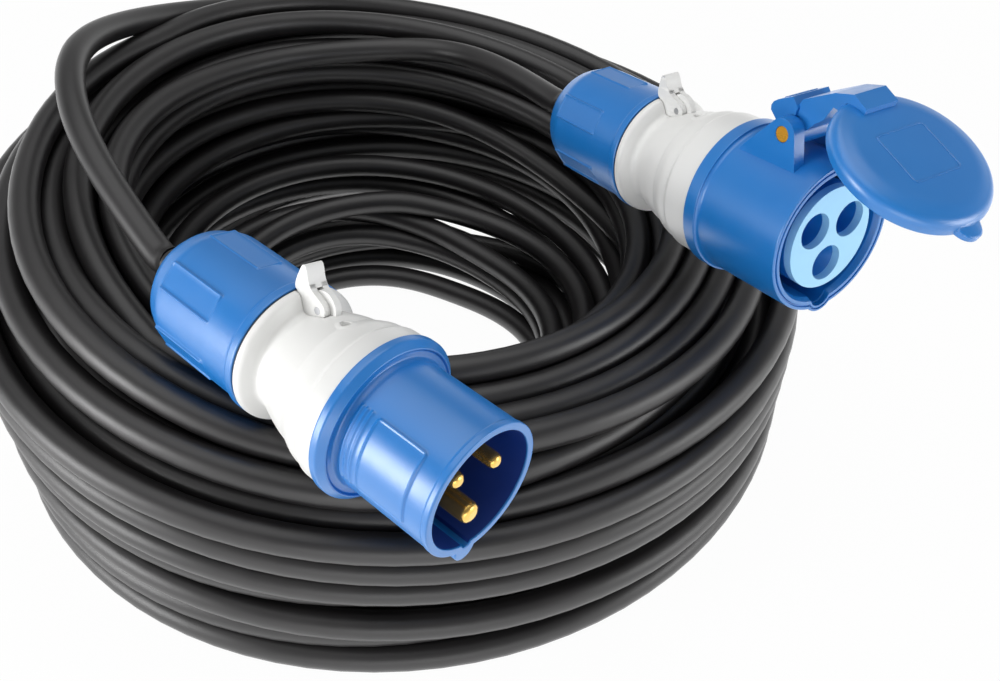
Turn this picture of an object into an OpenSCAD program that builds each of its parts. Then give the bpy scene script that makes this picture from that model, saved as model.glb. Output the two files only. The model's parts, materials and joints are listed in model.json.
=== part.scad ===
// Shore power extension cord: a coil of rubber cable with a pin plug and a lidded
// socket connector lying on it. Millimetres, +Z up, floor at z = 0, coil axis on Z.

/* [Cable] */
// Outer diameter of the cable sheath
cord_d = 11.2; // [10.6:0.1:11.4]
// Diameter of one insulated conductor
core_wire_d = 3.8; // [3:0.1:4.2]

/* [Coil] */
// Turns in the outer layer of the coil
coil_turns = 20.25; // [18.25:1:20.25]
// Radius of the outermost strand's centre line
coil_outer_r = 172; // [170:1:174]
// Height of the straight outer side of the coil
coil_side_h = 47; // [44:1:48]
// Radius of the rounded outer shoulder
coil_shoulder_r = 42; // [40:1:44]
// Width of the level top of the coil
coil_top_w = 12; // [8:1:16]
// Radius of the rounded inner shoulder
coil_inner_r = 20; // [18:1:24]
// Slope of the inner side above the floor, in degrees
coil_slope = 56; // [52:1:60]

/* [Plug and connector bodies] */
// Outer radius of the plug's shroud
shroud_r = 21.8; // [21.6:0.05:21.9]
// Wall of the plug's shroud
shroud_wall = 2.2; // [1.8:0.1:2.4]
// Depth of the plug's shroud
shroud_depth = 38; // [36:1:40]
// Outer radius of the connector's body
conn_r = 26.8; // [26.5:0.1:27.5]
// Bore radius of the connector's collar
collar_bore_r = 22.7; // [22.5:0.1:23]
// Radius of the connector's contact carrier
insert_r = 18.4; // [18:0.1:18.8]
// Radius of the circle that the three contacts lie on
contact_circle_r = 9.45; // [9.3:0.05:9.6]
// Radius of the live and neutral pins
line_pin_r = 2.5; // [2.4:0.05:2.6]
// Radius of the earth pin
earth_pin_r = 3.5; // [3.4:0.05:3.6]
// How far the pin tips lie inside the mouth of the shroud
pin_recess = 3.5; // [3:0.5:8]

/* [Rear bodies and glands] */
// Radius of the narrow neck of the rear body
neck_r = 18.5; // [18:0.1:19]
// Radius of the widest end of the rear body
rear_wide_r = 26.3; // [25.8:0.1:26.5]
// Wall of the rear body
rear_wall = 2.6; // [2.2:0.1:3]
// Radius of the collar that the gland nut closes on
rear_collar_r = 23.4; // [23:0.1:23.8]
// Outer radius of the gland nut
nut_r = 23.4; // [23:0.1:23.8]
// Length of the nut's straight part
nut_len = 41; // [40:1:43]
// Length of the nut's rounded rear end
nut_dome = 14; // [12:1:15]
// Radius of the threaded spigot that carries the nut
spigot_r = 19.5; // [19:0.1:19.8]
// Grip pads round the nut
grip_pads = 6; // [4:1:8]
// Travel of the nut when it is slackened
nut_travel = 6; // [4:0.5:7]

/* [Latch lever] */
// Height of the lever's pivot above the axis
lever_pivot_y = 21.3; // [21:0.1:21.6]
// Radius of the lever's pivot pin
lever_pin_r = 1.2; // [1:0.1:1.4]
// Thickness of each side plate of the lever
lever_plate = 2.2; // [1.8:0.1:2.4]

/* [Lid] */
// Outer radius of the lid
lid_r = 26.4; // [26.2:0.1:27]
// Thickness of the lid's cap
lid_h = 6.6; // [6:0.1:7.5]
// Radius of the hinge pin
hinge_pin_r = 1.8; // [1.6:0.1:2]
// Height of the hinge pin above the axis
hinge_y = 34.4; // [34:0.1:35]
// How far the hinge pin lies behind the mouth
hinge_back = 16.4; // [16:0.1:17]
// How far the lid stands open, in degrees
lid_open = 63; // [40:1:80]

/* [Hidden] */
$fn = 64;
// Clearances: running fit, seated pieces, loose pieces
run_fit = 0.06;
seat_fit = 0.1;
loose_fit = 0.3;
over = 1;

// Colours
blue = [0.13, 0.45, 0.76];
deep_blue = [0.09, 0.22, 0.52];
pale_blue = [0.64, 0.79, 0.93];
white = [0.9, 0.9, 0.89];
black = [0.12, 0.12, 0.13];
dark_grey = [0.27, 0.28, 0.3];
brass = [0.79, 0.62, 0.29];
steel = [0.7, 0.7, 0.72];
wire_brown = [0.4, 0.22, 0.12];
wire_blue = [0.12, 0.3, 0.7];
wire_green = [0.35, 0.6, 0.15];

// Stations along the plug's axis, counted back from the mouth
flange_front = 36.5;
flange_back = 41.5;
flange_r = 27.4;
flange_slope = 2.2;
carrier_seat_r = 23.6;
carrier_flange = 2.2;
carrier_in = 2;
pin_shoulder = 0.4;
lip = 2;
lip_r = shroud_r + 0.3;
key_r = 4;
key_out = 4;
step_ring_gap = 2.4;
step_ring_t = 1.2;
label_front = 8.5;
label_len = 19.5;
label_w = 25;
label_at = 172;
shroud_bore_r = shroud_r - shroud_wall;

// Stations along the connector's axis
ring_front = 37;
ring_back = 42.5;
ring_r = 28.1;
conn_floor = 40;

// The rear body, from its wide front end to its collar and spigot: the plug's
// and the connector's differ only in the straight part at the wide end
cone_len = 25;
neck_gap = 5;
collar_t = 2.8;
spigot_len = 20;
socket_in = 1.8;
plug_straight = 9;
conn_straight = 14;
seal_t = 1;
seal_r = 22.7;
vent_back = 8;
vent_at = 8;
vent_r = 1.4;

// Gland pieces, counted back from the front rim of the nut
ring_t = 5;
ring_r_out = 15;
grommet_len = 22;
cord_grip = 9;

// Contacts
terminal_len = 13;
terminal_wall = 1.9;
screw_r = 1.75;
screw_head_r = 2.7;
carrier_len = 14;

// The lever's ear and plates
ear_r = 6.2;
ear_half = 0.9;
lever_gap = 0.3;
lever_back = 9.1;
lever_hub_r = 3.6;
heel_y = -1.6;

// The hinge
ear_in = 8.4;
ear_out = 13;
hinge_ear_r = 5.2;
ear_foot_y = 19;
hinge_hub_r = 4.6;
hub_half = ear_in - loose_fit;
lid_lift = 0.4;
lid_wall = 2.4;
hump_y = 18;
lid_label_w = 20;
nose_tab_r = 4;
gasket_r = 25;
gasket_w = 2.4;
gasket_t = 1.6;

// ---------- frames ----------

module placed(at, turn) {
  translate(at)
    rotate([90 - turn[1], 0, turn[0] + 90])
      rotate([0, 0, turn[2]])
        children();
}

// Turns what is drawn in its closed place open about the hinge pin
module lid_opened() {
  translate([0, hinge_y, -hinge_back])
    rotate([-lid_open, 0, 0])
      translate([0, -hinge_y, hinge_back])
        children();
}

// ---------- plain shapes along an axis ----------

// A round bar from depth b up to depth a, both counted back from the mouth
module bar(r, a, b) { translate([0, 0, -b]) cylinder(r = r, h = b - a); }

module tube(r, bore, a, b) {
  difference() {
    bar(r, a, b);
    bar(bore, a - over, b + over);
  }
}

// A body of revolution whose outline is a list of [radius, depth] points
module turned(outline) {
  rotate_extrude() polygon([for (p = outline) [p[0], -p[1]]]);
}

// A bar across the axis along X
module cross_bar(r, half, y, depth) {
  translate([-half, y, -depth]) rotate([0, 90, 0]) cylinder(r = r, h = 2 * half);
}

// Angles of the live, neutral and earth contacts, seen from the mouth of the plug
live_a = 150;
neutral_a = 30;
earth_a = -90;

module at_contact(angle) { rotate([0, 0, angle]) translate([contact_circle_r, 0, 0]) children(); }

// ---------- swept tubes ----------

function unit(v) = v / norm(v);

// Direction of a route at point i
function heading(p, i) =
  unit(i == 0 ? p[1] - p[0]
     : i == len(p) - 1 ? p[i] - p[i - 1]
     : unit(p[i + 1] - p[i]) + unit(p[i] - p[i - 1]));

// A ring of n corners about c, square to direction d
function ring(c, d, r, n) =
  let (side = unit(cross(d, abs(d[2]) > 0.9 ? [1, 0, 0] : [0, 0, 1])), up = cross(side, d))
  [for (k = [0:n - 1]) c + r * (cos(360 * k / n) * side + sin(360 * k / n) * up)];

function flat_list(l) = [for (a = l) for (b = a) b];

// Triangles that join m rings of n corners into one closed tube
function tube_faces(m, n) = concat(
  [for (k = [1:n - 2]) [0, k + 1, k]],
  flat_list([for (i = [0:m - 2]) for (k = [0:n - 1])
    let (a = i * n + k, b = i * n + (k + 1) % n)
    [[a, b, b + n], [a, b + n, a + n]]]),
  let (last = (m - 1) * n) [for (k = [1:n - 2]) [last, last + k, last + k + 1]]);

module swept(points, r, n) {
  rings = [for (i = [0:len(points) - 1]) ring(points[i], heading(points, i), r, n)];
  polyhedron(flat_list(rings), tube_faces(len(points), n), convexity = 4);
}

function above_floor(p) = [p[0], p[1], max(p[2], 0)];

// ---------- the coil ----------

// The strand's centre line crosses the coil's section along this outline, from the
// outer foot up the side, round the shoulder, over the top, round the inner
// shoulder and down the slope to the inner foot
floor_cut = cord_d / 10;
foot_z = cord_d / 2 - floor_cut;
side_len = coil_side_h;
shoulder_len = coil_shoulder_r * PI / 2;
top_len = coil_top_w;
inner_len = coil_inner_r * PI * coil_slope / 180;
top_z = foot_z + coil_side_h + coil_shoulder_r;
slope_top_z = top_z - coil_inner_r * (1 - cos(coil_slope));
slope_len = (slope_top_z - foot_z) / sin(coil_slope);
inner_top_r = coil_outer_r - coil_shoulder_r - coil_top_w;
slope_top_r = inner_top_r - coil_inner_r * sin(coil_slope);
outline_len = side_len + shoulder_len + top_len + inner_len + slope_len;
pitch = outline_len / coil_turns;

// Point [radius, height] at length s along that outline
function outline_at(s) =
  s < side_len ? [coil_outer_r, foot_z + s]
  : let (s1 = s - side_len) s1 < shoulder_len
    ? let (a = s1 / coil_shoulder_r * 180 / PI)
      [coil_outer_r - coil_shoulder_r * (1 - cos(a)), foot_z + side_len + coil_shoulder_r * sin(a)]
  : let (s2 = s1 - shoulder_len) s2 < top_len
    ? [coil_outer_r - coil_shoulder_r - s2, top_z]
  : let (s3 = s2 - top_len) s3 < inner_len
    ? let (a = s3 / coil_inner_r * 180 / PI)
      [inner_top_r - coil_inner_r * sin(a), top_z - coil_inner_r * (1 - cos(a))]
  : let (s4 = min(s3 - inner_len, slope_len))
    [slope_top_r - s4 * cos(coil_slope), slope_top_z - s4 * sin(coil_slope)];

// The winding starts at the outer foot at start_a and runs clockwise from above
start_a = 10;
rings_per_turn = 24;
tube_sides = 6;
turn_steps = round(coil_turns * rings_per_turn);
end_a = start_a - 360 * coil_turns;

function turn_point(i) =
  let (q = outline_at(i / rings_per_turn * pitch), a = start_a - 360 * i / rings_per_turn)
  [q[0] * cos(a), q[0] * sin(a), q[1]];

// The two ends run on straight for one cable diameter, the inner one drawn in
end_in = 25;
function along(a) = [sin(a), -cos(a), 0];
outer_end = turn_point(0) - cord_d * along(start_a);
inner_end = turn_point(turn_steps) + cord_d * along(end_a - end_in);
winding = concat([outer_end], [for (i = [0:turn_steps]) turn_point(i)], [inner_end]);

// Six corners with a flat side below, held above the floor where the coil stands
function turn_ring(i) =
  let (d = heading(winding, i), side = unit(cross(d, [0, 0, 1])), up = cross(side, d))
  [for (k = [0:tube_sides - 1])
    let (a = 360 * k / tube_sides)
    above_floor(winding[i] + cord_d / 2 * (cos(a) * side + sin(a) * up))];

// Least gap between a strand and the turns beside it, measured on the ring centres
least_gap = min([for (i = [1:turn_steps]) for (j = [-2:2])
  let (k = i + rings_per_turn + j)
  if (k < len(winding)) norm(winding[k] - winding[i])]) - cord_d;
echo(least_gap_of_the_winding = least_gap, pitch = pitch);

module cord_coil_turns() {
  color(black) laid_down()
    polyhedron(flat_list([for (i = [0:len(winding) - 1]) turn_ring(i)]),
               tube_faces(len(winding), tube_sides), convexity = 12);
}

// The packed inner turns, as one plain ring inside the outer layer. Its outer side
// lies in by as much as the straight steps of a turn cut across their circle.
core_gap = cord_d / 2 + loose_fit;
chord_cut = coil_outer_r * (1 - cos(180 / rings_per_turn));
core_side_r = coil_outer_r - core_gap - chord_cut;
core_shoulder_r = coil_shoulder_r - core_gap;
core_inner_r = coil_inner_r - core_gap;

module cord_coil_core() {
  foot_in = slope_top_r - slope_top_z / tan(coil_slope) + core_gap / sin(coil_slope);
  outline = concat(
    [[core_side_r, 0]],
    [for (a = [0:10:90]) [core_side_r - core_shoulder_r * (1 - cos(a)),
                          foot_z + side_len + core_shoulder_r * sin(a)]],
    [for (a = [0:coil_slope / 4:coil_slope]) [inner_top_r - core_inner_r * sin(a),
                                              top_z - coil_inner_r + core_inner_r * cos(a)]],
    [[foot_in, 0]]);
  color(black) laid_down() rotate_extrude($fn = 96) polygon(outline);
}

// ---------- where things lie ----------

// Mouths of the plug and the connector, over the coil's front and right edge, and how
// they are turned: heading of the mouth in degrees from +X, rise and roll of the axis
plug_at = [41, -coil_outer_r - 16, top_z + 27.5];
plug_turn = [-42, -1.5, -19];
conn_at = [coil_outer_r - 15, -95, top_z + 45.5];
conn_turn = [-57, 8, -4];

// Everything is laid out round the coil's axis, then moved so that the middle of the
// whole footprint stands over the origin
laid_at = [-9.02, 11.92, 0];
module laid_down() { translate(laid_at) children(); }
module in_plug() { laid_down() placed(plug_at, plug_turn) children(); }
module in_conn() { laid_down() placed(conn_at, conn_turn) children(); }

// ---------- the free stretches of the cord ----------

tail_sides = 8;

// The routes are chosen on a coil of this radius and height, and stretch with it
route_r = 172;
route_top = 93.5;
function stretched(route) =
  let (wide = coil_outer_r / route_r, high = top_z / route_top)
  [for (p = route) [p[0] * wide, p[1] * wide, p[2] * high]];

// From the plug's cord end, over the left of the coil, round its back and down
// outside it to the outer foot of the winding
plug_tail_route = stretched([
  [-85, -72, 130], [-103, -50, 142], [-118, -22, 151], [-126, 8, 154], [-126, 40, 148],
  [-119, 74, 138], [-106, 106, 127], [-86, 134, 117], [-60, 155, 108], [-30, 169, 100],
  [2, 175, 92], [36, 175, 82], [69, 169, 70], [100, 157, 57], [126, 137, 43],
  [147, 112, 29], [163, 87, 16], [168, 67, 7]]);

// From the inner foot of the winding, up the slope, over the back of the coil and
// down to the connector's cord end
conn_tail_route = stretched([
  [-27, -31, 7], [-37, -17, 13], [-41, 0, 21], [-42, 18, 32], [-42, 36, 45],
  [-41, 53, 60], [-38, 68, 75], [-34, 81, 90], [-26, 95, 102], [-9, 107, 107],
  [12, 109, 107], [31, 99, 108], [46, 82, 110], [58, 62, 113]]);

function local_point(at, turn, p) =
  let (e = turn[1], h = turn[0], q = [p[0] * cos(turn[2]) - p[1] * sin(turn[2]),
                                      p[0] * sin(turn[2]) + p[1] * cos(turn[2]), p[2]],
       t = [q[0], q[1] * sin(e) - q[2] * cos(e), q[1] * cos(e) + q[2] * sin(e)],
       c = cos(h + 90), s = sin(h + 90))
  at + [t[0] * c - t[1] * s, t[0] * s + t[1] * c, t[2]];

// Depths at which the gland ends and the free cord begins
plug_nut_front = flange_back + plug_straight + cone_len + neck_gap + collar_t + seal_t;
conn_nut_front = ring_back + conn_straight + cone_len + neck_gap + collar_t + seal_t;
cord_out = nut_len + nut_dome + nut_travel + 1;

plug_exit = local_point(plug_at, plug_turn, [0, 0, -plug_nut_front - cord_out]);
plug_exit_2 = local_point(plug_at, plug_turn, [0, 0, -plug_nut_front - cord_out - cord_d]);
conn_exit = local_point(conn_at, conn_turn, [0, 0, -conn_nut_front - cord_out]);
conn_exit_2 = local_point(conn_at, conn_turn, [0, 0, -conn_nut_front - cord_out - cord_d]);
outer_join = outer_end - cord_d * along(start_a);
inner_join = inner_end + cord_d * along(end_a - end_in);

// A free stretch of cord, cut flat where it lies on the floor
module cord_run(points) {
  color(black) laid_down() intersection() {
    swept(points, cord_d / 2, tail_sides);
    translate([-2 * coil_outer_r, -2 * coil_outer_r, 0]) cube(4 * coil_outer_r);
  }
}

module plug_cord_tail() {
  cord_run(concat([plug_exit, plug_exit_2], plug_tail_route, [outer_join, outer_end]));
}

module connector_cord_tail() {
  cord_run(concat([inner_end, inner_join], conn_tail_route, [conn_exit_2, conn_exit]));
}

// The length of sheath that the gland holds, from inside the rear body to the open
module cord_end(nut_front) {
  color(black) bar(cord_d / 2, nut_front + cord_grip, nut_front + cord_out);
}

// ---------- gland pieces, shared by the plug and the connector ----------

pad_w = 10;
pad_len = 25;
pad_start = 12.3;
pad_tilt = 4;
pad_at = 149;

module pad_block(depth_out, height) {
  translate([depth_out, -pad_w / 2, -pad_start - pad_len]) cube([height, pad_w, pad_len]);
}

module at_pads() {
  for (k = [0:grip_pads - 1])
    rotate([0, 0, pad_at + 360 / grip_pads * k])
      translate([grip_r - 0.3, 0, 0])
        rotate([0, 0, pad_tilt])
          translate([-grip_r, 0, 0])
            children();
}

// Radius of the nut behind its front rim, and the length of that rim
grip_r = nut_r - 0.6;
rim_len = 3.3;

// Gland nut with its front rim at depth 0
module gland_nut() {
  dome = [for (a = [0:15:60]) [grip_r - nut_dome * 1.24 * (1 - cos(a)),
                               nut_len + nut_dome * sin(a) / sin(60)]];
  bore_len = spigot_len + 3;
  difference() {
    union() {
      turned(concat([[0, 0], [nut_r - 0.8, 0], [nut_r, 0.8], [nut_r, rim_len],
                     [grip_r, rim_len + 0.6]], dome, [[0, nut_len + nut_dome]]));
      at_pads() pad_block(grip_r - 3, 3);
    }
    at_pads() pad_block(grip_r, 3);
    bar(spigot_r + run_fit, -over, bore_len);
    bar(ring_r_out + loose_fit, bore_len - over, nut_len - 2);
    bar(cord_d / 2 + 2 * loose_fit, nut_len - 2 - over, nut_len + nut_dome + over);
  }
}

ring_seat = nut_len - 2;

// Ring that the nut pushes against the grommet
module clamping_ring() {
  tube(ring_r_out, cord_d / 2 + 2 * loose_fit, ring_seat - ring_t, ring_seat);
}

// Rubber sleeve squeezed round the cable, with a cone that enters the spigot
module cable_grommet() {
  back = ring_seat - ring_t;
  difference() {
    turned([[0, back - grommet_len], [grommet_nose_r - 2, back - grommet_len],
            [grommet_nose_r, back - grommet_len + 3], [grommet_nose_r, spigot_len + 1],
            [ring_r_out - 0.5, spigot_len + 1.4], [ring_r_out - 0.5, back], [0, back]]);
    bar(cord_d / 2, 0, nut_len);
  }
}
grommet_nose_r = spigot_r - rear_wall - 3;

module nut_seal() { tube(seal_r, spigot_r + seat_fit, -seal_t, 0); }

// ---------- rear body ----------

// White rear body. Depth 0 is its wide front end, and straight is the length of the
// level part there.
module rear_body(straight) {
  neck_at = straight + cone_len;
  collar_at = neck_at + neck_gap;
  back = collar_at + collar_t;
  end = back + seal_t + spigot_len;
  in_r = neck_r - rear_wall;
  difference() {
    turned([[0, -socket_in], [carrier_seat_r - seat_fit, -socket_in],
            [carrier_seat_r - seat_fit, 0], [rear_wide_r, 0], [rear_wide_r, straight],
            [neck_r + 3.6, straight + cone_len * 0.55],
            [neck_r + 1.2, straight + cone_len * 0.8], [neck_r, neck_at],
            [neck_r, collar_at], [rear_collar_r, collar_at], [rear_collar_r, back],
            [spigot_r, back], [spigot_r, end], [0, end]]);
    turned([[0, -over - socket_in], [carrier_seat_r - rear_wall, -over - socket_in],
            [carrier_seat_r - rear_wall, straight],
            [neck_r + 1, straight + cone_len * 0.55],
            [in_r, neck_at - 3], [in_r, back + 4], [grommet_nose_r + seat_fit, back + 7],
            [grommet_nose_r + seat_fit, end + over], [0, end + over]]);
    lever_pocket(neck_at);
    translate([0, 0, -straight - vent_back])
      rotate([-90, 0, vent_at]) cylinder(r = vent_r, h = 2 * neck_r);
  }
  latch_ear(neck_at);
}

// Place of the lever's pivot, counted back from the front of the neck
pivot_ahead = 4.5;
pocket_half = ear_half + lever_gap + lever_plate + 0.4;
pocket_floor = neck_r - rear_wall + 0.9;

module lever_pocket(neck_at) {
  translate([-pocket_half, pocket_floor, -neck_at - neck_gap + 0.01])
    cube([2 * pocket_half, neck_r, neck_gap + pivot_ahead + lever_hub_r + 0.4]);
}

module latch_ear(neck_at) {
  depth = neck_at - pivot_ahead;
  difference() {
    intersection() {
      union() {
        cross_bar(ear_r, ear_half, lever_pivot_y, depth);
        translate([-ear_half, pocket_floor - 0.5, -depth - ear_r + 1])
          cube([2 * ear_half, lever_pivot_y - pocket_floor, 2 * ear_r - 1]);
      }
      translate([-ear_half, pocket_floor - 0.5, -depth - ear_r])
        cube([2 * ear_half, 2 * ear_r + 4, 2 * ear_r]);
    }
    cross_bar(lever_pin_r, over + ear_half, lever_pivot_y, depth);
  }
}

// Fin-shaped lever, two plates astride the ear and joined behind it, pivot at depth 0
module latch_lever() {
  // Outline in [depth, height above the pivot]
  fin = concat(
    [for (a = [-90:15:60]) [-lever_hub_r * cos(a), lever_hub_r * sin(a)]],
    [[0.6, 3.9], [3.4, 5.4], [5.8, 8.2], [7.4, 11.6], [8.6, 12.6], [9.8, 12], [10.8, 7.5],
     [11, 3.2], [lever_back, 2.2], [lever_back, heel_y], [lever_back - 2, -lever_hub_r]]);
  web_x = ear_half + lever_gap + over / 2;
  difference() {
    union() {
      for (side = [-1, 1])
        translate([side * (ear_half + lever_gap + lever_plate / 2), 0, 0])
          rotate([0, 90, 0])
            linear_extrude(lever_plate, center = true) polygon(fin);
      translate([-web_x, heel_y, -lever_back]) cube([2 * web_x, 3.8, 2]);
      translate([-web_x, 5, -10.2]) cube([2 * web_x, 4, 2.4]);
    }
    cross_bar(lever_pin_r + run_fit, ear_out, 0, 0);
  }
}

module latch_pin() {
  cross_bar(lever_pin_r, ear_half + lever_gap + lever_plate, 0, 0);
}

module at_lever(white_front, straight) {
  translate([0, lever_pivot_y, -(white_front + straight + cone_len - pivot_ahead)]) children();
}

// ---------- contacts and wires ----------

// Terminal barrel with its cross hole for the clamp screw, starting at depth a
module terminal(r, a) {
  difference() {
    bar(r + terminal_wall, a, a + terminal_len);
    translate([0, 0, -a - terminal_len * 0.55])
      rotate([0, 90, 0]) cylinder(r = screw_r + run_fit, h = 3 * r);
  }
}

// Brass pin with a stepped tip at depth tip, a thicker root from depth root and its
// terminal starting at depth a
module contact_pin(r, tip, root, a) {
  union() {
    bar(r, tip + r * 0.8, root + over);
    bar(r * 0.8, tip + r * 0.3, tip + r);
    bar(r * 0.45, tip, tip + r);
    bar(r + pin_shoulder, root, a + over);
    terminal(r, a);
  }
}

// Brass sleeve, open to the mouth from depth a to its terminal at depth b
module contact_sleeve(r, a, b) {
  tube(r + terminal_wall, r + 0.05, a, b);
  terminal(r, b);
}

module terminal_screw(r, a) {
  translate([0, 0, -a - terminal_len * 0.55])
    rotate([0, 90, 0]) {
      cylinder(r = screw_r, h = r + terminal_wall);
      translate([0, 0, r + terminal_wall]) cylinder(r = screw_head_r, h = 1.6);
    }
}

// A wire from the cut end of the sheath to the back of a terminal
module wire(angle, from, to) {
  r0 = core_wire_d * 0.6;
  r1 = contact_circle_r;
  mid = (from + to) / 2;
  function at(r, depth) = [r * cos(angle), r * sin(angle), -depth];
  swept([at(r0, from), at(r0, from - 3), at(r0 + (r1 - r0) * 0.3, mid + 3),
         at(r0 + (r1 - r0) * 0.75, mid - 3), at(r1, to + 3), at(r1, to)],
        core_wire_d / 2, tail_sides);
}

plug_wire_from = plug_nut_front + cord_grip;
conn_wire_from = conn_nut_front + cord_grip;

// ---------- plug ----------

module plug_front_housing() {
  color(blue) in_plug() difference() {
    union() {
      turned([[0, 0], [lip_r, 0], [lip_r, lip], [shroud_r, lip + 0.4],
              [shroud_r, flange_front], [flange_r - flange_slope, flange_front],
              [flange_r, flange_front + flange_slope], [flange_r, flange_back - 1],
              [flange_r - 1, flange_back], [0, flange_back]]);
      translate([0, -shroud_r + key_r - key_out, 0]) bar(key_r, 0, flange_front);
      label_panel();
      for (k = [1:2])
        tube(shroud_r + 0.5, shroud_r - over, flange_front - k * step_ring_gap,
             flange_front - k * step_ring_gap + step_ring_t);
    }
    bar(shroud_bore_r, -over, shroud_depth + over);
    bar(carrier_seat_r, shroud_depth, flange_back + over);
    translate([0, -shroud_bore_r + 0.6, 0]) bar(key_r / 2, -over, shroud_depth);
  }
}

// Bare raised panel on the side of the shroud
module label_panel() {
  intersection() {
    tube(shroud_r + 0.6, shroud_r - over, label_front, label_front + label_len);
    rotate([0, 0, label_at])
      translate([0, -label_w / 2, -label_front - label_len])
        cube([2 * shroud_r, label_w, label_len]);
  }
}

plug_pin_back = shroud_depth + carrier_flange + carrier_len - terminal_len;
carrier_face = shroud_depth - carrier_in;

module plug_pin_carrier() {
  module root_hole(angle, r) {
    at_contact(angle) bar(r + pin_shoulder, carrier_face - over, plug_pin_back + over);
  }
  color(deep_blue) in_plug() difference() {
    union() {
      bar(shroud_bore_r - seat_fit, carrier_face, shroud_depth + over);
      bar(carrier_seat_r - seat_fit, shroud_depth, shroud_depth + carrier_flange - 0.5);
      bar(neck_r - 1, shroud_depth + over, plug_pin_back);
    }
    root_hole(live_a, line_pin_r);
    root_hole(neutral_a, line_pin_r);
    root_hole(earth_a, earth_pin_r);
  }
}

module plug_pin(angle, r, tip) {
  color(brass) in_plug()
    at_contact(angle) contact_pin(r, tip, carrier_face, plug_pin_back);
}

module plug_live_pin() { plug_pin(live_a, line_pin_r, pin_recess); }
module plug_neutral_pin() { plug_pin(neutral_a, line_pin_r, pin_recess); }

// The earth pin stands ahead of the other two, so that it meets its sleeve first
earth_lead = 2;
module plug_earth_pin() { plug_pin(earth_a, earth_pin_r, pin_recess - earth_lead); }

module plug_terminal_screws() {
  color(steel) in_plug() {
    at_contact(live_a) terminal_screw(line_pin_r, plug_pin_back);
    at_contact(neutral_a) terminal_screw(line_pin_r, plug_pin_back);
    at_contact(earth_a) terminal_screw(earth_pin_r, plug_pin_back);
  }
}

module plug_wire(angle) {
  in_plug() wire(angle, plug_wire_from, plug_pin_back + terminal_len);
}
module plug_live_wire() { color(wire_brown) plug_wire(live_a); }
module plug_neutral_wire() { color(wire_blue) plug_wire(neutral_a); }
module plug_earth_wire() { color(wire_green) plug_wire(earth_a); }

module plug_rear_body() {
  color(white) in_plug() translate([0, 0, -flange_back]) rear_body(plug_straight);
}

module plug_nut_seal() { color(dark_grey) in_plug() translate([0, 0, -plug_nut_front]) nut_seal(); }
module plug_gland_nut() { color(blue) in_plug() translate([0, 0, -plug_nut_front]) gland_nut(); }
module plug_clamping_ring() {
  color(white) in_plug() translate([0, 0, -plug_nut_front]) clamping_ring();
}
module plug_cable_grommet() {
  color(black) in_plug() translate([0, 0, -plug_nut_front]) cable_grommet();
}
module plug_cord_end() { in_plug() cord_end(plug_nut_front); }
module plug_latch_lever() {
  color(white) in_plug() at_lever(flange_back, plug_straight) latch_lever();
}
module plug_latch_pin() {
  color(steel) in_plug() at_lever(flange_back, plug_straight) latch_pin();
}

// ---------- connector ----------

key_way_r = key_r + 0.5;
nose_r = key_way_r + 2.2;

module connector_housing() {
  color(blue) in_conn() difference() {
    union() {
      bar(conn_r, 0, ring_back);
      bar(ring_r, ring_front, ring_back);
      translate([0, -shroud_r + key_r - key_out, 0]) bar(nose_r, 0, ring_front - 8);
      for (side = [-1, 1]) hinge_ear(side);
    }
    bar(collar_bore_r, -over, conn_floor);
    bar(carrier_seat_r, conn_floor - 0.01, ring_back + over);
    turned([[0, -over], [collar_bore_r + 1.2, -over], [collar_bore_r + 0.8, 0],
            [collar_bore_r, 2], [0, 2]]);
    translate([0, -shroud_r + key_r - key_out, 0]) bar(key_way_r, -over, conn_floor - 4);
    cross_bar(hinge_pin_r, ear_out + over, hinge_y, hinge_back);
    for (side = [-1, 1])
      translate([side * (ear_out - 0.8) - (side < 0 ? over : 0), hinge_y, -hinge_back])
        rotate([0, 90, 0]) cylinder(r = hinge_head_r + seat_fit, h = 0.8 + over);
  }
}

hinge_head_r = hinge_pin_r + 0.8;

// Ear beside the lid's hub, with a ramp down to the rear of the body
module hinge_ear(side) {
  x0 = side > 0 ? ear_in : -ear_out;
  difference() {
    translate([x0 + (ear_out - ear_in) / 2, 0, 0])
      rotate([0, 90, 0])
        linear_extrude(ear_out - ear_in, center = true)
          hull() {
            translate([hinge_back, hinge_y]) circle(r = hinge_ear_r, $fn = 48);
            translate([ring_front - 4, ear_foot_y]) square([2, 4.5]);
            translate([hinge_back - 7.4, ear_foot_y]) square([2, 4]);
          }
    bar(conn_r - 2, -over, ring_back);
  }
}

// Pale plate with the three round openings, flush in the mouth
module connector_face_plate() {
  color(pale_blue) in_conn() difference() {
    bar(insert_r, plate_front, plate_back);
    for (angle = [live_a, neutral_a, earth_a])
      at_contact(angle) bar(counterbore_r, plate_front - over, plate_back + over);
  }
}

// Blue block behind the plate, with the wells that lead to the sleeves
module connector_contact_carrier() {
  color(blue) in_conn() difference() {
    union() {
      bar(insert_r, plate_back, conn_floor + over);
      bar(carrier_seat_r - seat_fit, conn_floor, conn_floor + carrier_flange - 1.5);
      bar(neck_r - 1, conn_floor, conn_pin_back);
    }
    for (angle = [live_a, neutral_a])
      at_contact(angle) {
        bar(line_pin_r + terminal_wall + seat_fit, sleeve_front - 0.01, conn_pin_back + over);
        bar(line_pin_r + 0.3, -over, sleeve_front + 1);
        bar(counterbore_r, -over, counterbore);
      }
    at_contact(earth_a) {
      bar(earth_pin_r + terminal_wall + seat_fit, sleeve_front - 0.01, conn_pin_back + over);
      bar(earth_pin_r + 0.3, -over, sleeve_front + 1);
      turned([[0, 0], [counterbore_r, plate_back - over], [counterbore_r, plate_back],
              [earth_pin_r + 0.3, counterbore], [0, counterbore]]);
    }
  }
}

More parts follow.
